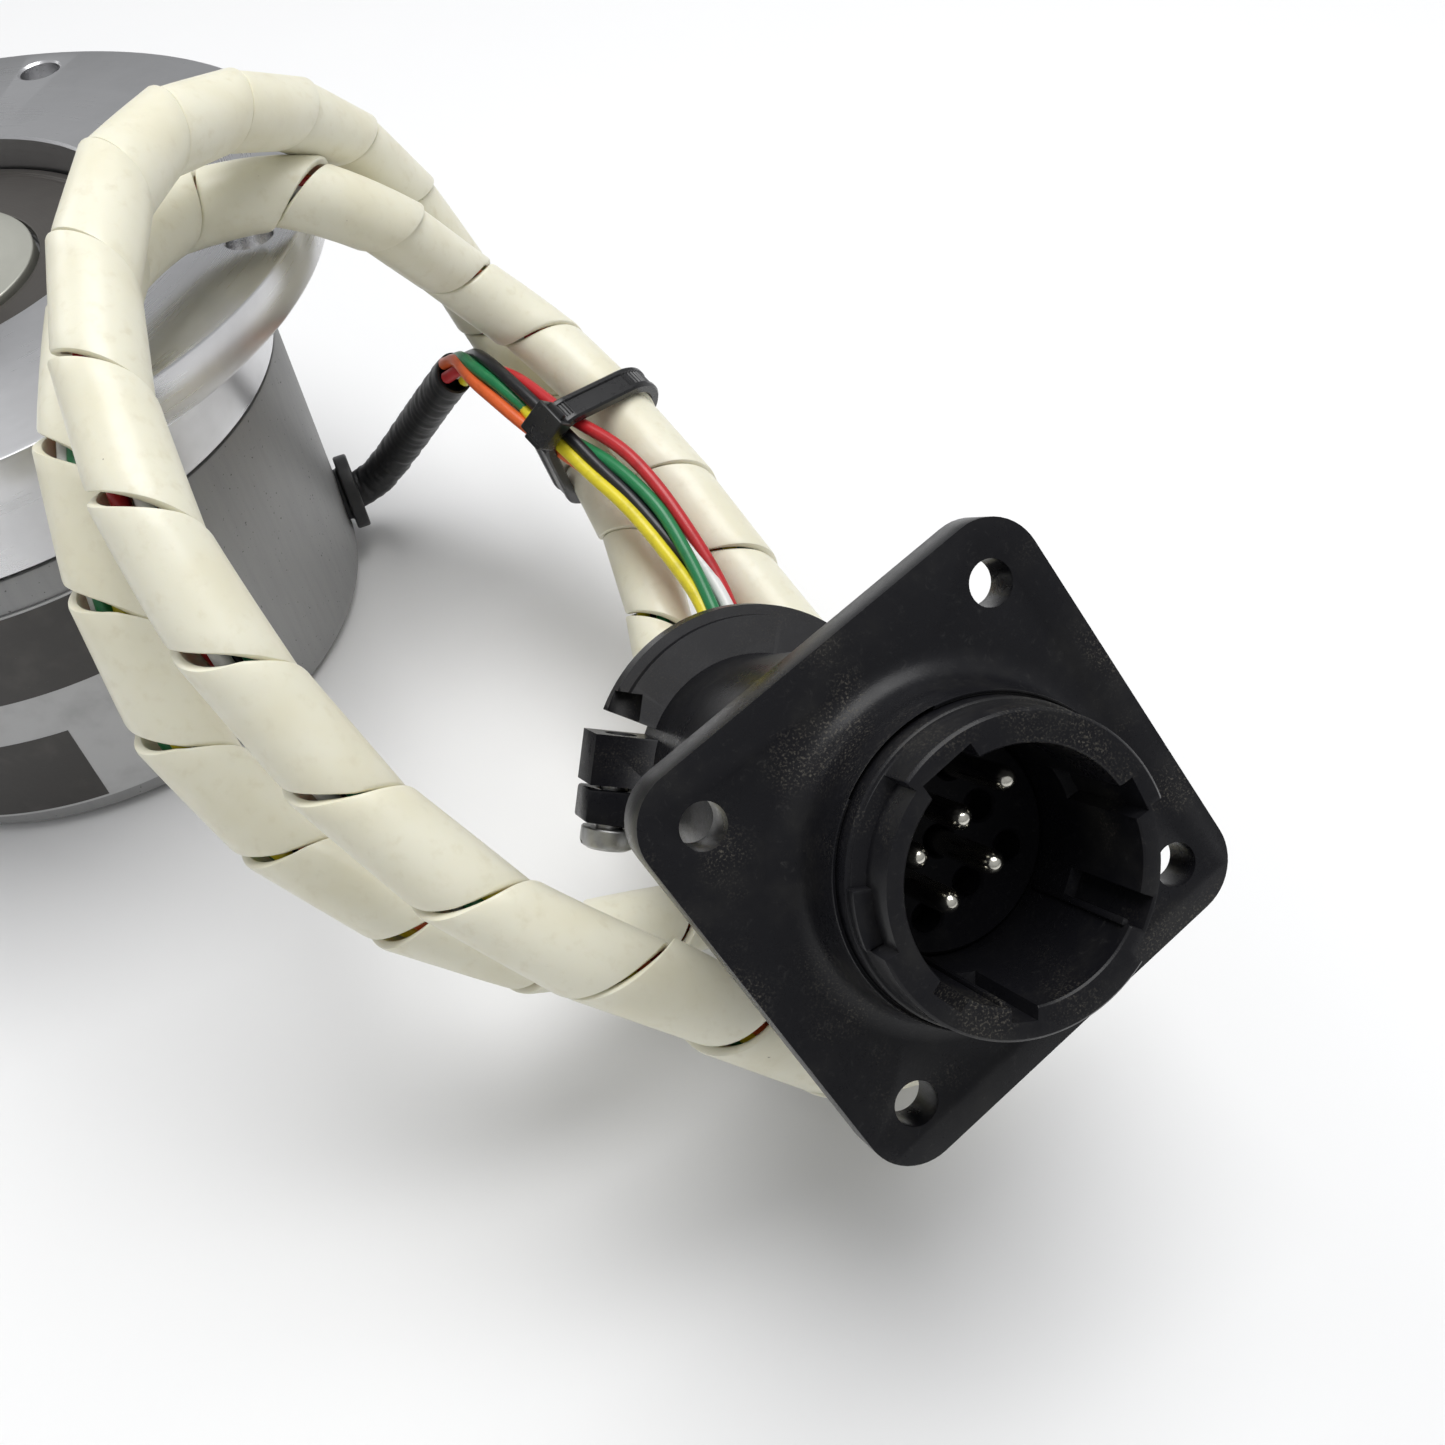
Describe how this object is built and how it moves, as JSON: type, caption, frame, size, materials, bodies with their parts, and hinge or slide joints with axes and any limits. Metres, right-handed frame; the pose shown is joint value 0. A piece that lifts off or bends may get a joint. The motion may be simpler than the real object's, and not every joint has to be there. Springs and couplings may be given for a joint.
{
  "type": "rotary encoder",
  "caption": "Round flanged shaft encoder: ball-bearing shaft with a slotted reading disc inside a deep cover, and a spiral-wrapped lead ending in a square-flange pin connector.",
  "frame": {"origin": "middle of the cover's base, on the surface the encoder stands on", "axes": "+Z along the shaft, out of the mounting face; +Y and -Y across, with the lead leaving towards +X and folded back on itself towards -Y"},
  "size_m": [0.1533, 0.1281, 0.0688],
  "materials": {
    "machined_aluminium": "fine turned, satin",
    "cast_cover": "matte grey",
    "dark_anodised": "dark satin",
    "polished_hub": "satin",
    "shaft_steel": "ground",
    "bearing_steel": "polished",
    "bearing_brass": "satin",
    "spring_steel": "satin",
    "clear_disc": "clear",
    "black_moulding": "matte",
    "board_green": "satin",
    "label_black": "printed film",
    "soft_black": "matte",
    "wrap_cream": "satin",
    "connector_black": "moulded, satin",
    "pin_plate": "plated",
    "screw_zinc": "zinc plated",
    "wire_orange": "insulation",
    "wire_red": "insulation",
    "wire_green": "insulation",
    "wire_black": "insulation",
    "wire_white": "insulation",
    "wire_yellow": "insulation"
  },
  "bodies": {
    "housing": {"mounting_flange": "machined_aluminium", "dust_ring": "dark_anodised", "front_bearing_outer": "bearing_steel", "rear_bearing_outer": "bearing_steel", "preload_washer": "spring_steel", "retaining_ring": "spring_steel", "optical_fork": "black_moulding", "lamp": "clear_disc", "photo_sensor": "black_moulding", "phase_mask": "clear_disc", "circuit_board": "board_green", "board_post_1": "bearing_brass", "board_post_2": "bearing_brass", "board_post_3": "bearing_brass", "board_screw_1": "screw_zinc", "board_screw_2": "screw_zinc", "board_screw_3": "screw_zinc", "wire_header": "black_moulding", "cover_seal": "soft_black", "rear_cover": "cast_cover", "cover_screw_1": "screw_zinc", "cover_screw_2": "screw_zinc", "label_plate": "label_black", "cable_grommet": "soft_black", "cable_sleeve": "soft_black", "wire_red": "wire_red", "wire_green": "wire_green", "wire_black": "wire_black", "wire_yellow": "wire_yellow", "wire_orange": "wire_orange", "wire_white": "wire_white", "spiral_wrap": "wrap_cream", "cable_tie": "soft_black", "receptacle_shell": "connector_black", "contact_insert": "connector_black", "contact_pin_1": "pin_plate", "contact_pin_2": "pin_plate", "contact_pin_3": "pin_plate", "contact_pin_4": "pin_plate", "contact_pin_5": "pin_plate", "clamp_body": "connector_black", "clamp_saddle": "connector_black", "clamp_screw_1": "screw_zinc", "clamp_screw_2": "screw_zinc"},
    "rotor": {"shaft": "shaft_steel", "shaft_hub": "polished_hub", "front_bearing_inner": "bearing_steel", "rear_bearing_inner": "bearing_steel", "bearing_spacer": "bearing_brass", "disc_hub": "machined_aluminium", "code_disc": "clear_disc"},
    "front_cage": {"front_bearing_balls": "bearing_brass"},
    "rear_cage": {"rear_bearing_balls": "bearing_brass"}
  },
  "joints": [
    {"name": "shaft_spin", "type": "hinge", "parent": "housing", "child": "rotor", "pos_m": [0, 0, 0.0496], "axis": [0, 0, 1], "continuous": true},
    {"name": "front_cage_spin", "type": "hinge", "parent": "housing", "child": "front_cage", "pos_m": [0, 0, 0.0409], "axis": [0, 0, 1], "continuous": true},
    {"name": "rear_cage_spin", "type": "hinge", "parent": "housing", "child": "rear_cage", "pos_m": [0, 0, 0.0296], "axis": [0, 0, 1], "continuous": true}
  ],
  "couplings": [
    {"joint": "front_cage_spin", "follows": "shaft_spin", "ratio": 0.38},
    {"joint": "rear_cage_spin", "follows": "shaft_spin", "ratio": 0.38}
  ]
}
